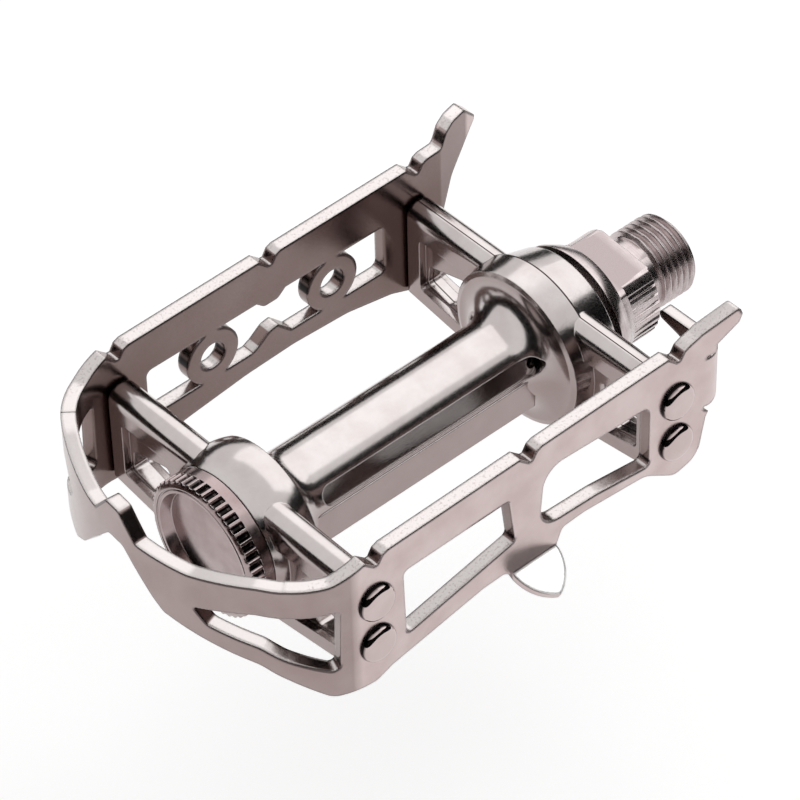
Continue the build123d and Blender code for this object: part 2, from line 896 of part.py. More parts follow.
# Dust cap: ribbed rim, dished face and a spigot that enters the outboard hub
with BuildPart() as dust_cap:
    with BuildSketch(Plane.XZ):
        with BuildLine():
            Polyline(
                (cap_face_x + cap_dish_depth, 0),
                (cap_face_x + cap_dish_depth, cap_floor_r),
                (cap_face_x, cap_dish_r),
                (cap_face_x, cap_land_r),
                (cap_face_x + cap_land, cap_r - cap_rib_depth),
                (outer_mouth_x - cap_seat, cap_r - cap_rib_depth),
                (outer_mouth_x - cap_seat, cap_spigot_r),
                (spigot_x - running_gap, cap_spigot_r),
                (spigot_x - running_gap, cap_spigot_r - cap_spigot_wall),
                (cap_inside_x, cap_spigot_r - cap_spigot_wall),
                (cap_inside_x, 0),
                close=True,
            )
        make_face()
    revolve(axis=Axis.X)
    rib_points = []
    for k in range(2 * cap_rib_count):
        turn = pi * k / cap_rib_count
        reach = cap_r - cap_rib_depth * (k % 2)
        rib_points.append((reach * cos(turn), reach * sin(turn)))
    with BuildSketch(Plane.YZ.offset(cap_face_x + cap_land)):
        with BuildLine():
            Polyline(*rib_points, close=True)
        make_face()
        Circle(cap_spigot_r, mode=Mode.SUBTRACT)
    extrude(amount=cap_width - cap_land - cap_seat)
dust_cap.part.label = "dust_cap"
export_step(dust_cap.part, "parts/dust_cap.step")
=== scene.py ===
# %% [markdown]
# Road bicycle pedal. A bent metal cage is riveted to a cast body, and the body turns on a
# threaded spindle. This lesson loads the solid model of the pedal as a fixed frame, sets a
# camera and lights round it, and then gives each piece its metal finish.

# %% Load the solid model
from math import cos, pi, radians, sin

import bmesh
import bpy
import numpy as np
from mathutils import Matrix, Vector


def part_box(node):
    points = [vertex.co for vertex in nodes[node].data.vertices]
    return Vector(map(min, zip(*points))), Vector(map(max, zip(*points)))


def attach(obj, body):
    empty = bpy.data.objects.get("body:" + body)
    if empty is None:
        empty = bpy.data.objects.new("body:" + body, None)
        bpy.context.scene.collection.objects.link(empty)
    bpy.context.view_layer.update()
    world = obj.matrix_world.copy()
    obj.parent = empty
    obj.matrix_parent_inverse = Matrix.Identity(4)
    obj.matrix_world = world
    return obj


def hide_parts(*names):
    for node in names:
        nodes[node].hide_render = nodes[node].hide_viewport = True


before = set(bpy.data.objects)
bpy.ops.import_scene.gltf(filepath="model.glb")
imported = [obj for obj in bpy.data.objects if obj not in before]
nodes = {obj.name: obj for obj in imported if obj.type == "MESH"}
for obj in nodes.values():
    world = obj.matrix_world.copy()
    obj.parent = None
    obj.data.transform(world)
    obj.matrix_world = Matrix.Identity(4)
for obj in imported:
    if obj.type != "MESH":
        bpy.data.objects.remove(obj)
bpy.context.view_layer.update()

MM = 0.001
SCENE = bpy.context.scene

# %% [markdown]
# The photograph was taken with a long lens from above the pedal's outer end. A camera is
# built here from three turns and a distance, as a photographer would set a tripod: how far
# round the object it stands, how high it looks down from, and how far the picture leans.
# Writing the three axes out by hand keeps them readable and exact.

# %% Camera
TURN_DEG, HEIGHT_DEG, LEAN_DEG = 40.984, 44.133, -1.473
LENS_MM, SENSOR_MM = 200.18, 36
CAMERA_AT_MM = Vector((-372.5, -373.85, 485.37))


def camera_axes(turn, height, lean):
    """The camera's right, up and backward directions."""
    right = Vector((cos(turn), -sin(turn), 0))
    up = Vector((sin(turn) * sin(height), cos(turn) * sin(height), cos(height)))
    back = right.cross(up)
    return right * cos(lean) + up * sin(lean), up * cos(lean) - right * sin(lean), back


camera = bpy.data.objects.new("photo_camera", bpy.data.cameras.new("photo_camera"))
SCENE.collection.objects.link(camera)
SCENE.camera = camera
axes = camera_axes(radians(TURN_DEG), radians(HEIGHT_DEG), radians(LEAN_DEG))
camera.matrix_world = Matrix.Translation(CAMERA_AT_MM * MM) @ Matrix(axes).transposed().to_4x4()
camera.data.lens = LENS_MM
camera.data.sensor_width = SENSOR_MM
camera.data.clip_start, camera.data.clip_end = 0.01, 20
SCENE.view_settings.view_transform = "Standard"
print("camera looks from", [round(v) for v in CAMERA_AT_MM], "mm")

# %% [markdown]
# The pedal is shown on plain white. The floor lies a little below it, so that its shadow is
# soft and pale. The world is white where the camera or a polished surface looks at it, and
# weaker as a lamp, so that the metal keeps its own tone.

# %% Floor and world
FLOOR_Z_MM, FLOOR_SIZE_M = -60, 6
WORLD_SEEN, WORLD_LAMP = 1.0, 0.45
FLOOR_TONE, FLOOR_LIFT = 0.9, 0.53


def shader_node(tree, kind, **settings):
    """Add one node to a tree and set its inputs or properties by name."""
    node = tree.nodes.new(kind)
    for key, value in settings.items():
        if key in node.inputs:
            node.inputs[key].default_value = value
        else:
            setattr(node, key, value)
    return node


def seen_strength(tree, as_seen, as_lamp):
    """as_seen for rays that look at a surface, and as_lamp for rays that only light one."""
    path = shader_node(tree, "ShaderNodeLightPath")
    total = path.outputs["Is Camera Ray"]
    for name in ("Is Glossy Ray", "Is Transmission Ray"):
        add = shader_node(tree, "ShaderNodeMath", operation="MAXIMUM")
        tree.links.new(total, add.inputs[0])
        tree.links.new(path.outputs[name], add.inputs[1])
        total = add.outputs[0]
    mix = shader_node(tree, "ShaderNodeMapRange")
    mix.inputs["To Min"].default_value = as_lamp
    mix.inputs["To Max"].default_value = as_seen
    tree.links.new(total, mix.inputs["Value"])
    return mix.outputs["Result"]


def matt_paint(name, tone):
    """A plain matt paint with no shine."""
    paint = bpy.data.materials.new(name)
    paint.use_nodes = True
    skin = paint.node_tree.nodes["Principled BSDF"]
    skin.inputs["Base Color"].default_value = (tone, tone, tone, 1)
    skin.inputs["Roughness"].default_value = 1.0
    skin.inputs["Specular IOR Level"].default_value = 0.0
    return paint


world = bpy.data.worlds.new("studio")
SCENE.world = world
world.use_nodes = True
sky = world.node_tree.nodes["Background"]
sky.inputs["Color"].default_value = (1, 1, 1, 1)
world.node_tree.links.new(
    seen_strength(world.node_tree, WORLD_SEEN, WORLD_LAMP), sky.inputs["Strength"]
)

bpy.ops.mesh.primitive_plane_add(size=FLOOR_SIZE_M, location=(0, 0, FLOOR_Z_MM * MM))
floor = bpy.context.active_object
floor.name = "floor"
floor_paint = matt_paint("floor_paint", FLOOR_TONE)
floor_skin = floor_paint.node_tree.nodes["Principled BSDF"]
floor_skin.inputs["Emission Color"].default_value = (1, 1, 1, 1)
floor_paint.node_tree.links.new(
    seen_strength(floor_paint.node_tree, FLOOR_LIFT, 0.0), floor_skin.inputs["Emission Strength"]
)
floor.data.materials.append(floor_paint)
print("floor at", FLOOR_Z_MM, "mm")

# %% [markdown]
# Polished metal shows its surroundings more than its own colour. One long soft lamp stands
# high behind the crank end. Round the table a low dark screen is set up, as photographers do
# for metal: it gives each rounded edge its dark line. It is highest on the side that the near
# plate faces and low towards the lamp. Only reflections see the screen.

# %% Lamp and the dark screen
LAMP_TARGET_MM = Vector((-50, 0, 0))
LAMP_AT_MM, LAMP_SIZE_MM, LAMP_WATTS = Vector((560, 190, 690)), (780, 1350), 2.1
SCREEN_R_MM, SCREEN_LOW_MM, SCREEN_HIGH_MM = 550, -52, 440
DIP_MM, DIP_TURN_DEG, DIP_HALF_DEG, DIP_FLATNESS = 340, 75, 125, 1.5
SCREEN_TONE = 0.01


def screen_height(turn):
    """Top of the screen, high on the near plate's side and low on the lamp's."""
    away = abs((turn - radians(DIP_TURN_DEG) + pi) % (2 * pi) - pi)
    share = max(0.0, min(1.0, DIP_FLATNESS * (1 - away / radians(DIP_HALF_DEG))))
    return SCREEN_HIGH_MM - DIP_MM * share


def screen_band(name, radius, low, height_at, sides=120):
    """A thin upright band round the pedal, open at the top and the bottom."""
    turns = [2 * pi * k / sides for k in range(sides)]
    points = [(radius * cos(t), radius * sin(t), low) for t in turns]
    points += [(radius * cos(t), radius * sin(t), height_at(t)) for t in turns]
    faces = [(k, (k + 1) % sides, sides + (k + 1) % sides, sides + k) for k in range(sides)]
    mesh = bpy.data.meshes.new(name)
    mesh.from_pydata([Vector(p) * MM for p in points], [], faces)
    band = bpy.data.objects.new(name, mesh)
    SCENE.collection.objects.link(band)
    return band


lamp = bpy.data.objects.new("long_lamp", bpy.data.lights.new("long_lamp", "AREA"))
SCENE.collection.objects.link(lamp)
lamp.data.shape = "RECTANGLE"
lamp.data.size, lamp.data.size_y = LAMP_SIZE_MM[0] * MM, LAMP_SIZE_MM[1] * MM
lamp.data.energy = LAMP_WATTS
back = (LAMP_AT_MM - LAMP_TARGET_MM).normalized()
along = Vector((0, 1, 0)) - back * back.y
along.normalize()
lamp_axes = Matrix((along.cross(back), along, back)).transposed().to_4x4()
lamp.matrix_world = Matrix.Translation(LAMP_AT_MM * MM) @ lamp_axes

screen = screen_band("dark_screen", SCREEN_R_MM, SCREEN_LOW_MM, screen_height)
screen.location = LAMP_TARGET_MM * MM
screen.data.materials.append(matt_paint("screen_cloth", SCREEN_TONE))
screen.visible_camera = False
screen.visible_diffuse = False
screen.visible_shadow = False
screen.visible_transmission = False
print("lamp power", LAMP_WATTS, "W")

# %% [markdown]
# The spindle is one turned steel bar. Its thread is a V-shaped groove that climbs round the
# end, so a plain turned surface can't carry it. Here the whole bar is a grid of rings: each
# ring has a place along the axis, and each of its points a radius. The thread, the two
# spanner flats and the fine grooves between them are all written as changes to that radius.

# %% Threaded spindle
# All lengths are in mm. A ring on the axis has the radius TIP_R, because a ring can't be a point
RING_POINTS, TIP_R = 360, 0.02
THREAD_R, THREAD_FROM, THREAD_TO, NECK_TO = 7.145, 3.15, 9.8, 2.8
THREAD_PITCH, THREAD_DEPTH, THREAD_STEP = 1.27, 0.78, 0.09
THREAD_STEEPNESS, CREST_SHARE = 1.25, 0.12
FINE_FROM, FINE_TO = 2.75, 10.6
FLAT_HALF, FLAT_FROM, FLAT_TURN_DEG = 7.5, -8.2, 5.5
COLLAR_R, COLLAR_FROM = 9.5, -6.3
GROOVE_COUNT, GROOVE_STEP_DEG, GROOVE_HALF, GROOVE_DEPTH = 9, 9.6, 0.4, 0.5
BALL_X, BALL_CIRCLE, RACE_R, RACE_STEP = -17.5, 8.0, 2.0645, 0.3
KEY_TO, KEY_HALF, KEY_FLOOR = -77.4, 0.6, 3.17
LEAST_LEAN, SHARP_DEG = 0.1, 35
# Corners of the bar from the thread's end inward: place along the axis and radius
SPINDLE_CORNERS = [
    (9.3, 0.0), (10.5, 1.2), (10.5, 6.445), (THREAD_TO, THREAD_R),
    (THREAD_FROM, THREAD_R), (NECK_TO, 6.4), (0.0, 6.4), (0.0, 9.1), (-0.4, COLLAR_R),
    (COLLAR_FROM, COLLAR_R), (COLLAR_FROM, 9.8), (-8.195, 10.81), (-8.205, 10.82),
    (-10.5, 12.0), (-11.0, 12.0), (-11.0, 9.0), (-14.9, 9.0), (-15.6, 8.5), (-17.5, 6.3355),
    (-19.4, 6.2355), (-19.9, 5.0), (-23.05, 5.0), (-68.8, 4.6), (-76.4, 4.6), (-77.0, 3.97),
    (-84.4, 3.97), (-84.9, 3.47), (-84.9, 0.0),
]


def stepped(corners, low, high, step):
    """The same corners, with extra places wherever a run lies between low and high."""
    places = [corners[0]]
    for (x0, r0), (x1, r1) in zip(corners, corners[1:]):
        inside = low <= min(x0, x1) and max(x0, x1) <= high
        pieces = max(1, round(abs(x1 - x0) / step)) if inside else 1
        for k in range(1, pieces + 1):
            places.append((x0 + (x1 - x0) * k / pieces, r0 + (r1 - r0) * k / pieces))
    return places


def thread_groove(x, turn):
    """How deep the V of the left-hand thread is, from 0 on its crest to 1 in its root."""
    phase = (x / THREAD_PITCH + turn / (2 * pi)) % 1
    return np.clip(THREAD_STEEPNESS * (1 - np.abs(2 * phase - 1)) - CREST_SHARE, 0, 1)


def spindle_radius(x, radius, turn):
    """Radius of the bar at one place, after all that is cut into it."""
    size = np.full_like(turn, radius)
    if x > NECK_TO:
        size = np.minimum(size, THREAD_R - THREAD_DEPTH * thread_groove(x, turn))
    if FLAT_FROM < x <= 0:
        lean = np.abs(np.cos(turn - radians(90 + FLAT_TURN_DEG)))
        size = np.minimum(size, FLAT_HALF / np.maximum(lean, LEAST_LEAN))
    if COLLAR_FROM < x <= 0:
        for side in (0, 180):
            for k in range(GROOVE_COUNT):
                middle = side + FLAT_TURN_DEG + (k - (GROOVE_COUNT - 1) / 2) * GROOVE_STEP_DEG
                away = turn - radians(middle)
                cut = (np.abs(size * np.sin(away)) < GROOVE_HALF) & (np.cos(away) > 0)
                size = np.where(cut, np.minimum(size, COLLAR_R - GROOVE_DEPTH), size)
    if abs(x - BALL_X) < RACE_R:
        size = np.minimum(size, BALL_CIRCLE - (RACE_R**2 - (x - BALL_X) ** 2) ** 0.5)
    if x < KEY_TO:
        inside = (np.abs(size * np.cos(turn)) < KEY_HALF) & (np.sin(turn) > 0)
        floor_r = KEY_FLOOR / np.maximum(np.sin(turn), LEAST_LEAN)
        size = np.where(inside, np.minimum(size, floor_r), size)
    return size


def piece_from_rings(name, rings):
    """A closed smooth mesh from rings of points, with its sharp turns kept sharp."""
    rows, count = rings.shape[:2]
    faces = []
    for row in range(rows - 1):
        for k in range(count):
            n = (k + 1) % count
            here, below = row * count, (row + 1) * count
            faces.append((here + k, below + k, below + n, here + n))
    faces.append(tuple(range(count)))
    faces.append(tuple(range(rows * count - 1, (rows - 1) * count - 1, -1)))
    mesh = bpy.data.meshes.new(name)
    mesh.from_pydata((rings.reshape(-1, 3) * MM).tolist(), [], faces)
    mesh.validate()
    solid = bmesh.new()
    solid.from_mesh(mesh)
    bmesh.ops.recalc_face_normals(solid, faces=solid.faces)
    solid.to_mesh(mesh)
    solid.free()
    mesh.polygons.foreach_set("use_smooth", [True] * len(mesh.polygons))
    mesh.set_sharp_from_angle(angle=radians(SHARP_DEG))
    piece = bpy.data.objects.new(name, mesh)
    SCENE.collection.objects.link(piece)
    return piece


def ring_at(x, size, turn):
    """One ring round the pedal's axis, with its own radius at each turn."""
    return np.stack([np.full_like(turn, x), size * np.cos(turn), size * np.sin(turn)], 1)


def turned_spindle():
    """The whole bar as rings of points."""
    places = stepped(SPINDLE_CORNERS, FINE_FROM, FINE_TO, THREAD_STEP)
    places = stepped(places, BALL_X - RACE_R, BALL_X + RACE_R, RACE_STEP)
    turn = np.linspace(0, 2 * pi, RING_POINTS, endpoint=False)
    rings = [ring_at(x, spindle_radius(x, max(radius, TIP_R), turn), turn) for x, radius in places]
    return piece_from_rings("turned_spindle", np.array(rings))


spindle = turned_spindle()
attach(spindle, "spindle")
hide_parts("spindle")
print("spindle faces:", len(spindle.data.polygons))

# %% [markdown]
# The dust cap was turned on a lathe and then knurled: straight ribs run round the outer half
# of its rim, and the rest of the rim is smooth. Its face has two fine turned rings and a low
# dome in the dish. It is made as rings of points like the spindle, with the ribs as a change
# of radius.

# %% Dust cap
CAP_FACE_X, CAP_R = -88.3, 12.0
RIB_COUNT, RIB_DEPTH, RIB_FROM, RIB_TO = 45, 0.62, -87.95, -85.75
POINTS_PER_RIB, RIB_FLATNESS, RIBS_OUTSIDE_R = 8, 1.6, 11.8
# Corners from the middle of the face, over the rim and back inside
CAP_CORNERS = [
    (-86.95, TIP_R), (-86.92, 2.0), (-86.8, 4.5), (-86.55, 7.2), (-86.4, 9.3), (-86.6, 9.45),
    (-88.2, 9.85), (CAP_FACE_X, 9.95), (CAP_FACE_X, 10.4), (-88.12, 10.5), (-88.12, 10.7),
    (CAP_FACE_X, 10.8), (CAP_FACE_X, 11.25), (-87.95, 11.75), (-87.9, CAP_R), (-85.8, CAP_R),
    (-85.7, CAP_R), (-83.95, CAP_R), (-83.85, 11.9), (-83.85, 10.6), (-81.9, 10.6),
    (-81.9, 9.2), (-85.2, 9.2), (-85.2, TIP_R),
]


def turned_cap():
    """The cap as rings of points, with the ribs cut into its rim."""
    turn = np.linspace(0, 2 * pi, RIB_COUNT * POINTS_PER_RIB, endpoint=False)
    valley = np.clip(RIB_FLATNESS * np.cos(turn * RIB_COUNT), -1, 1) / 2 + 0.5
    rings = []
    for x, radius in CAP_CORNERS:
        ribbed = RIB_FROM < x < RIB_TO and radius > RIBS_OUTSIDE_R
        rings.append(ring_at(x, radius - RIB_DEPTH * valley * ribbed, turn))
    return piece_from_rings("turned_cap", np.array(rings))


cap = turned_cap()
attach(cap, "dust_cap")
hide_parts("dust_cap")
print("cap ribs:", RIB_COUNT)

# %% [markdown]
# Each rivet was set with a cup-shaped tool that leaves a flat top and a rounded shoulder. The
# shoulder is what catches the dark screen and the light above it. The solid model has a
# plain low dome there, so each head is turned again at the same place and size.

# %% Rivet heads
HEAD_R, HEAD_HEIGHT, HEAD_SEAT = 3.3, 1.3, 0.01
CROWN_R, CROWN_RISE = 1.0, 0.03
SHOULDER_R, SHOULDER_STEPS = 1.15, 6
SHANK_R, SHANK_DEPTH = 1.5, 5.4
PLATE_Y = 31.075
RIVET_COUNT, HEAD_POINTS = 8, 64


def rivet_profile():
    """Radius and height of one rivet from its shank's end to the middle of its head."""
    places = [(TIP_R, -SHANK_DEPTH), (SHANK_R, -SHANK_DEPTH), (SHANK_R, HEAD_SEAT)]
    places.append((HEAD_R, HEAD_SEAT))
    for k in range(SHOULDER_STEPS + 1):
        lean = pi / 2 * k / SHOULDER_STEPS
        radius = HEAD_R - SHOULDER_R * (1 - cos(lean))
        places.append((radius, HEAD_HEIGHT - SHOULDER_R * (1 - sin(lean))))
    return places + [(CROWN_R, HEAD_HEIGHT + CROWN_RISE), (TIP_R, HEAD_HEIGHT + CROWN_RISE)]


heads = []
turn = np.linspace(0, 2 * pi, HEAD_POINTS, endpoint=False)
for number in range(1, RIVET_COUNT + 1):
    low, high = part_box(f"rivet_{number}")
    x, z = (low[0] + high[0]) / 2 / MM, (low[2] + high[2]) / 2 / MM
    side = 1 if low[1] + high[1] > 0 else -1
    rings = []
    for radius, height in rivet_profile():
        xs, zs = x + radius * np.cos(turn * side), z - radius * np.sin(turn * side)
        rings.append(np.stack([xs, np.full_like(turn, side * (PLATE_Y + height)), zs], 1))
    head = piece_from_rings(f"set_rivet_{number}", np.array(rings))
    heads.append(head)
    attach(head, "pedal")
    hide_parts(f"rivet_{number}")
print("rivets set:", len(heads))

# %% [markdown]
# A finish is put together from a few small tools: sums, stretched values, mixed colours, soft
# random clouds, and questions such as how far a point lies from the pedal's axis or how much
# metal stands round it.

# %% Tools for finishes
BEVEL_SAMPLES, CORNER_SAMPLES = 6, 8


def math_node(tree, operation, first, second=0.0):
    """One sum with links or numbers as its inputs."""
    node = shader_node(tree, "ShaderNodeMath", operation=operation)
    for socket, value in zip(node.inputs, (first, second)):
        if isinstance(value, (int, float)):
            socket.default_value = value
        else:
            tree.links.new(value, socket)
    return node.outputs[0]


def both(tree, first, second):
    """The product of two shares, which is 1 only where both are."""
    return math_node(tree, "MULTIPLY", first, second)


def size_of(tree, value):
    """A value without its sign."""
    return math_node(tree, "ABSOLUTE", value)


def ramp(tree, value, low, high, to_low=0.0, to_high=1.0):
    """Stretch low..high of a value to to_low..to_high, with the ends held."""
    ends = {"From Min": low, "From Max": high, "To Min": to_low, "To Max": to_high}
    node = shader_node(tree, "ShaderNodeMapRange", **ends)
    tree.links.new(value, node.inputs["Value"])
    return node.outputs["Result"]


def ramp_mm(tree, value, low_mm, high_mm):
    """0 at low_mm and 1 at high_mm, of a value in metres."""
    return ramp(tree, value, low_mm * MM, high_mm * MM)


def near(tree, value, middle_mm, half_mm):
    """1 where a value in metres is within half_mm of middle_mm, with soft ends."""
    away = size_of(tree, math_node(tree, "SUBTRACT", value, middle_mm * MM))
    return ramp_mm(tree, away, half_mm, half_mm * 0.5)


def mixed(tree, share, first, second):
    """Two colours, links or tuples, mixed by a share."""
    node = shader_node(tree, "ShaderNodeMix", data_type="RGBA")
    for name, value in (("Factor", share), ("A", first), ("B", second)):
        socket = [s for s in node.inputs if s.name == name and s.enabled][0]
        if isinstance(value, tuple):
            socket.default_value = (*value, 1)
        else:
            tree.links.new(value, socket)
    return [s for s in node.outputs if s.enabled][0]


def noise(tree, place, size_mm, detail=3.0, rough=0.5):
    """Soft random clouds, size_mm across."""
    node = shader_node(
        tree, "ShaderNodeTexNoise", Scale=1 / (size_mm * MM), Detail=detail, Roughness=rough
    )
    tree.links.new(place, node.inputs["Vector"])
    return node.outputs["Fac"]


def openness(tree, reach_mm):
    """1 on an open face, and less where other metal stands within reach_mm."""
    node = shader_node(
        tree, "ShaderNodeAmbientOcclusion", samples=CORNER_SAMPLES, Distance=reach_mm * MM
    )
    return node.outputs["AO"]


def parts(tree, vector):
    """The X, Y and Z of a place or a direction."""
    split = shader_node(tree, "ShaderNodeSeparateXYZ")
    tree.links.new(vector, split.inputs[0])
    return tuple(split.outputs)


def axis_places(tree, place):
    """Place along the pedal's axis and distance from it, in metres."""
    x, y, z = parts(tree, place)
    squares = math_node(tree, "ADD", both(tree, y, y), both(tree, z, z))
    return x, math_node(tree, "SQRT", squares)


def own_space(tree, normal):
    """A direction as the piece itself has it, so that its wear turns with it."""
    node = shader_node(
        tree, "ShaderNodeVectorTransform",
        vector_type="NORMAL", convert_from="WORLD", convert_to="OBJECT",
    )
    tree.links.new(normal, node.inputs[0])
    return node.outputs[0]


print("corner samples:", CORNER_SAMPLES)

# %% [markdown]
# Use leaves its own marks on each piece, and some shade and highlights are painted in with
# them. The cage's upper faces are lighter, partly rubbed and partly a painted highlight; its
# tab has a painted highlight, a black line runs under its upper edges, and its inner sides
# get painted shade. Painted black shade lies between the cap's ribs and round the rivets,
# the body's hubs carry fine dark parting lines and its sides painted shade, and a lathe
# leaves fine rings on the spindle. Each function below adds such marks to a piece's colour.

# %% Marks of use and painted light
# Dark colours: painted shade in corners, rib valleys and rivet roots, and parting, lathe and edge
# lines
DARK_MARKS_AND_SHADE, BLACK_LINE = (0.03, 0.02, 0.02), (0.012, 0.01, 0.01)
# A direction's Z on faces that look up, on the tab's, on upright faces and on sides
UP_FACING, TAB_FACING, UPRIGHT, SIDE_FACING = (0.8, 0.9), (0.8, 0.85), (0.5, 0.3), (0.5, 0.0)
# Painted shade on the cage's inner sides: colour, reach, openness and shares; the colour also
# marks the rails' pits
PITS_AND_SHADE, INNER_SHADE_REACH_MM = (0.13, 0.085, 0.075), 38
INNER_SHADE_OPENNESS, INNER_SHADE_SHARES, INNER_SIDE_MM = (0.99, 0.66), (0.5, 0.92), (31.025, 30.775)
# Upper faces: rubbed wear together with a painted highlight
RUBBED_AND_LIT, RUBBED_AND_LIT_SHARE = (0.66, 0.625, 0.615), 0.8
# The tab's colour is a painted highlight, nearly white
TAB_HIGHLIGHT, TAB_OUT_MM, TAB_DOWN_MM = (0.92, 0.91, 0.9), (-PLATE_Y, -PLATE_Y - 0.4), (-4, -5)
RAIL_MM, SPECKLE_MM, SPECKLE_RANGE, SPECKLE_SHARE = (27, 28), 0.45, (0.54, 0.68), 0.3
# How far the rounded normal tilts up where the black line under an upper edge is painted
EDGE_LINE_RISE = (0.03, 0.09)
# Painted shade on the body's sides and undersides
SHADED_SIDE, SIDE_SHADE_SHARE = (0.24, 0.165, 0.155), 0.68
HUB_SEAM_X, SEAM_HALF_MM, HUB_SKIN_MM = (-74.9, -18.55), 0.14, (12.2, 12.6)
# Depth and spill of the painted shade in the rib valleys, and height of the painted shade at rivet
# roots
RIB_SHADE_DEPTH, RIB_SHADE_SPILL, ROOT_SHADE_MM = RIB_DEPTH * 0.8, 0.1, (0.75, 0.375)
LATHE_STEP_MM, LATHE_RANGE, LATHE_SHARE = 0.45, (0.2, 1.0), 0.1
MILLED, MILLED_FACING, MILLED_HALF_MM = (0.36, 0.30, 0.30), (0.985, 0.992), -FLAT_FROM * 0.55


def cage_wear_and_light(tree, place, flat, rounded, tone):
    """Upper faces lighter from rubbing and a painted highlight, a black line under them, painted
    shade inside.
    """
    x, y, z = parts(tree, place)
    up = parts(tree, flat)[2]
    across = size_of(tree, y)
    # Painted shade: the inner sides darken where other metal stands within the reach
    shut_in = ramp(tree, openness(tree, INNER_SHADE_REACH_MM), *INNER_SHADE_OPENNESS, *INNER_SHADE_SHARES)
    inner_shade = both(tree, shut_in, ramp_mm(tree, across, *INNER_SIDE_MM))
    tone = mixed(tree, inner_shade, tone, PITS_AND_SHADE)
    # Upper faces lighter and more neutral: partly rubbed wear, partly a painted highlight
    tone = mixed(tree, ramp(tree, up, *UP_FACING, 0.0, RUBBED_AND_LIT_SHARE), tone, RUBBED_AND_LIT)
    # Painted highlight: the tab's upward face is made nearly white
    on_tab = both(tree, ramp_mm(tree, y, *TAB_OUT_MM), ramp_mm(tree, z, *TAB_DOWN_MM))
    tone = mixed(tree, both(tree, on_tab, ramp(tree, up, *TAB_FACING)), tone, TAB_HIGHLIGHT)
    pits = noise(tree, place, SPECKLE_MM, detail=2.0, rough=0.7)
    pits = ramp(tree, pits, *SPECKLE_RANGE, 0.0, SPECKLE_SHARE)
    pits = both(tree, pits, ramp(tree, up, *UP_FACING))
    tone = mixed(tree, both(tree, pits, ramp_mm(tree, across, *RAIL_MM)), tone, PITS_AND_SHADE)
    # A thin black line is painted where upright faces round over into an upper edge
    upright = ramp(tree, size_of(tree, up), *UPRIGHT)
    edge_line = both(tree, upright, ramp(tree, parts(tree, rounded)[2], *EDGE_LINE_RISE))
    return mixed(tree, edge_line, tone, BLACK_LINE)


def body_seams_and_shade(tree, place, flat, rounded, tone):
    """Fine dark parting lines round both hubs, and painted shade on the sides and undersides."""
    x, reach = axis_places(tree, place)
    # Painted shade: faces darker the more they turn sideways and down
    side = ramp(tree, parts(tree, flat)[2], *SIDE_FACING, 0.0, SIDE_SHADE_SHARE)
    tone = mixed(tree, side, tone, SHADED_SIDE)
    seams = [near(tree, x, seam_x, SEAM_HALF_MM) for seam_x in HUB_SEAM_X]
    on_hub = ramp_mm(tree, reach, *HUB_SKIN_MM)
    return mixed(tree, both(tree, math_node(tree, "MAXIMUM", *seams), on_hub), tone, DARK_MARKS_AND_SHADE)


def shaded_ribs(tree, place, flat, rounded, tone):
    """Painted black shade in the valleys between the ribs of the cap's rim."""
    x, reach = axis_places(tree, place)
    low = near(tree, reach, CAP_R - RIB_DEPTH, RIB_SHADE_DEPTH)
    ribbed_half = (RIB_TO - RIB_FROM) / 2 + RIB_SHADE_SPILL
    ribbed = near(tree, x, (RIB_FROM + RIB_TO) / 2, ribbed_half)
    return mixed(tree, both(tree, low, ribbed), tone, BLACK_LINE)


def shaded_root(tree, place, flat, rounded, tone):
    """A painted black shade line where a rivet head meets its plate."""
    height = math_node(tree, "SUBTRACT", size_of(tree, parts(tree, place)[1]), PLATE_Y * MM)
    return mixed(tree, ramp_mm(tree, height, *ROOT_SHADE_MM), tone, BLACK_LINE)


def turned_lines(tree, place, flat, rounded, tone):
    """Fine lines that the lathe left round the axis, and the duller milled flats."""
    x, reach = axis_places(tree, place)
    along = math_node(tree, "ADD", x, reach)
    wave = math_node(tree, "SINE", both(tree, along, 2 * pi / (LATHE_STEP_MM * MM)))
    tone = mixed(tree, ramp(tree, wave, *LATHE_RANGE, 0.0, LATHE_SHARE), tone, DARK_MARKS_AND_SHADE)
    milled = ramp(tree, size_of(tree, parts(tree, flat)[2]), *MILLED_FACING)
    on_flat = near(tree, x, FLAT_FROM / 2, MILLED_HALF_MM)
    return mixed(tree, both(tree, milled, on_flat), tone, MILLED)


print("marks of use: 5 kinds")

# %% [markdown]
# Every finish but the seal's is metal: a colour, a little cloudiness from handling, and
# painted shade that darkens its corners. The edges of real sheet and castings are never quite
# sharp, so the surface is shaded as if each edge were rounded by a fraction of a millimetre,
# and the same rounding tells where the metal is worn bright. One helper makes all of them.

# %% Finishes
CLOUD_RANGE, EDGE_RANGE = (0.35, 0.68), (0.99, 0.88)
CORNER_RANGE, GRAIN_RANGE = (0.75, 0.3), (0.3, 0.7)
LEAST_ROUGH, MOST_ROUGH = 0.8, 1.25
RELIEF_MM = 0.2


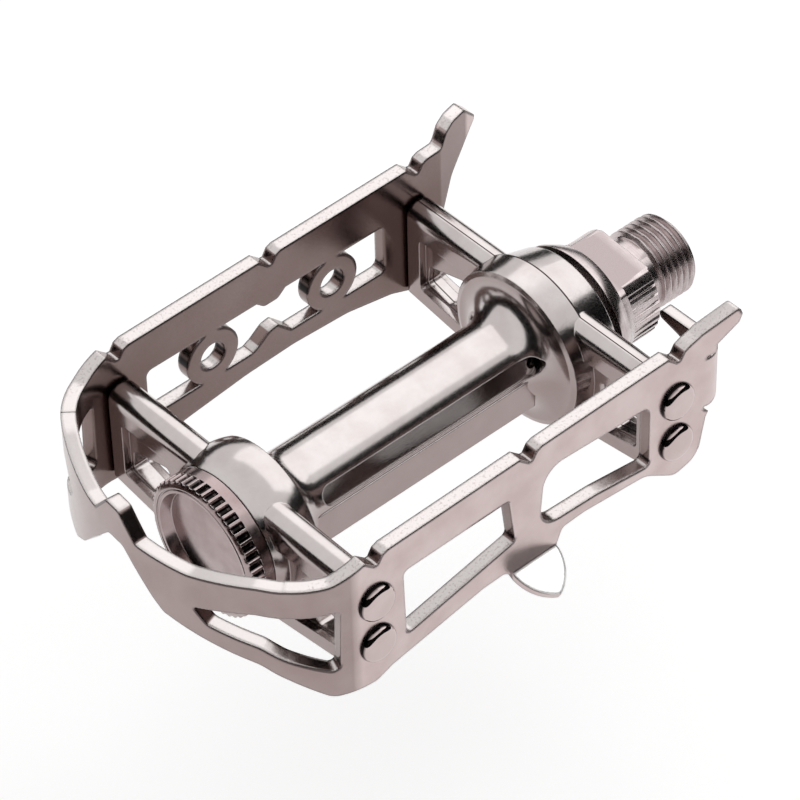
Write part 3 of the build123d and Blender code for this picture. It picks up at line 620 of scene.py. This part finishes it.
def metal_finish(name, colour, dark, worn, roughness, cloud_mm=6.0, edge_mm=0.25, corner_shade=0.8,
                 corner_shade_mm=2.5, bump=0.02, grain_mm=0.35, marks=None):
    """A worn metal: clouded colour, worn edges, painted shade in corners and a fine uneven skin.
    """
    finish = bpy.data.materials.new(name)
    finish.use_nodes = True
    tree = finish.node_tree
    skin = tree.nodes["Principled BSDF"]
    place = shader_node(tree, "ShaderNodeTexCoord").outputs["Object"]
    rounded = shader_node(tree, "ShaderNodeBevel", samples=BEVEL_SAMPLES, Radius=edge_mm * MM)
    rounded = rounded.outputs["Normal"]
    flat = shader_node(tree, "ShaderNodeNewGeometry").outputs["Normal"]
    alike = shader_node(tree, "ShaderNodeVectorMath", operation="DOT_PRODUCT")
    tree.links.new(rounded, alike.inputs[0])
    tree.links.new(flat, alike.inputs[1])
    clouds = ramp(tree, noise(tree, place, cloud_mm, detail=4.0), *CLOUD_RANGE)
    tone = mixed(tree, clouds, colour, dark)
    tone = mixed(tree, ramp(tree, alike.outputs["Value"], *EDGE_RANGE), tone, worn)
    # Painted shade: the colour darkens where other metal stands near, as in corners
    shaded_corners = ramp(tree, openness(tree, corner_shade_mm), *CORNER_RANGE, 0.0, corner_shade)
    tone = mixed(tree, shaded_corners, tone, DARK_MARKS_AND_SHADE)
    if marks:
        tone = marks(tree, place, own_space(tree, flat), own_space(tree, rounded), tone)
    tree.links.new(tone, skin.inputs["Base Color"])
    grain = noise(tree, place, grain_mm, rough=0.6)
    rough_ends = roughness * LEAST_ROUGH, roughness * MOST_ROUGH
    tree.links.new(ramp(tree, grain, *GRAIN_RANGE, *rough_ends), skin.inputs["Roughness"])
    skin.inputs["Metallic"].default_value = 1.0
    relief = shader_node(tree, "ShaderNodeBump", Strength=bump, Distance=RELIEF_MM * MM)
    tree.links.new(grain, relief.inputs["Height"])
    tree.links.new(rounded, relief.inputs["Normal"])
    tree.links.new(relief.outputs["Normal"], skin.inputs["Normal"])
    return finish


def dress(node, finish):
    """Give a solid piece its finish."""
    piece = nodes[node]
    piece.data.materials.clear()
    piece.data.materials.append(finish)


# Each finish: its name, its colour, its darker clouds, its worn edges and its roughness
cage_finish = metal_finish(
    "cage_alloy", (0.61, 0.505, 0.495), (0.53, 0.425, 0.41), (0.62, 0.53, 0.52), 0.2,
    edge_mm=0.8, corner_shade=0.85, corner_shade_mm=0.9, bump=0.01, marks=cage_wear_and_light,
)
body_finish = metal_finish(
    "cast_alloy", (0.58, 0.54, 0.53), (0.52, 0.47, 0.46), (0.66, 0.62, 0.61), 0.17,
    edge_mm=0.3, cloud_mm=5, bump=0.012, marks=body_seams_and_shade,
)
spindle_finish = metal_finish(
    "spindle_steel", (0.62, 0.55, 0.545), (0.48, 0.41, 0.405), (0.7, 0.66, 0.65), 0.24,
    edge_mm=0.12, corner_shade=0.45, corner_shade_mm=0.7, cloud_mm=2.5, bump=0.012, marks=turned_lines,
)
cap_finish = metal_finish(
    "cap_alloy", (0.42, 0.34, 0.335), (0.31, 0.235, 0.23), (0.75, 0.71, 0.7), 0.2,
    edge_mm=0.12, corner_shade_mm=1.0, corner_shade=0.95, bump=0.01, marks=shaded_ribs,
)
rivet_finish = metal_finish(
    "rivet_alloy", (0.58, 0.48, 0.47), (0.52, 0.425, 0.41), (0.58, 0.49, 0.48), 0.07,
    edge_mm=0.1, bump=0.004, marks=shaded_root,
)
bearing_finish = metal_finish(
    "bearing_steel", (0.5, 0.5, 0.5), (0.45, 0.45, 0.45), (0.6, 0.6, 0.6), 0.1
)
seal_finish = metal_finish(
    "seal_plastic", (0.03, 0.03, 0.03), (0.02, 0.02, 0.02), (0.05, 0.05, 0.05), 0.6
)
seal_finish.node_tree.nodes["Principled BSDF"].inputs["Metallic"].default_value = 0.0

for node in nodes:
    dress(node, bearing_finish)
dress("cage", cage_finish)
dress("pedal_body", body_finish)
dress("inboard_seal", seal_finish)
spindle.data.materials.append(spindle_finish)
cap.data.materials.append(cap_finish)
for head in heads:
    head.data.materials.append(rivet_finish)
print("finishes:", len(bpy.data.materials))
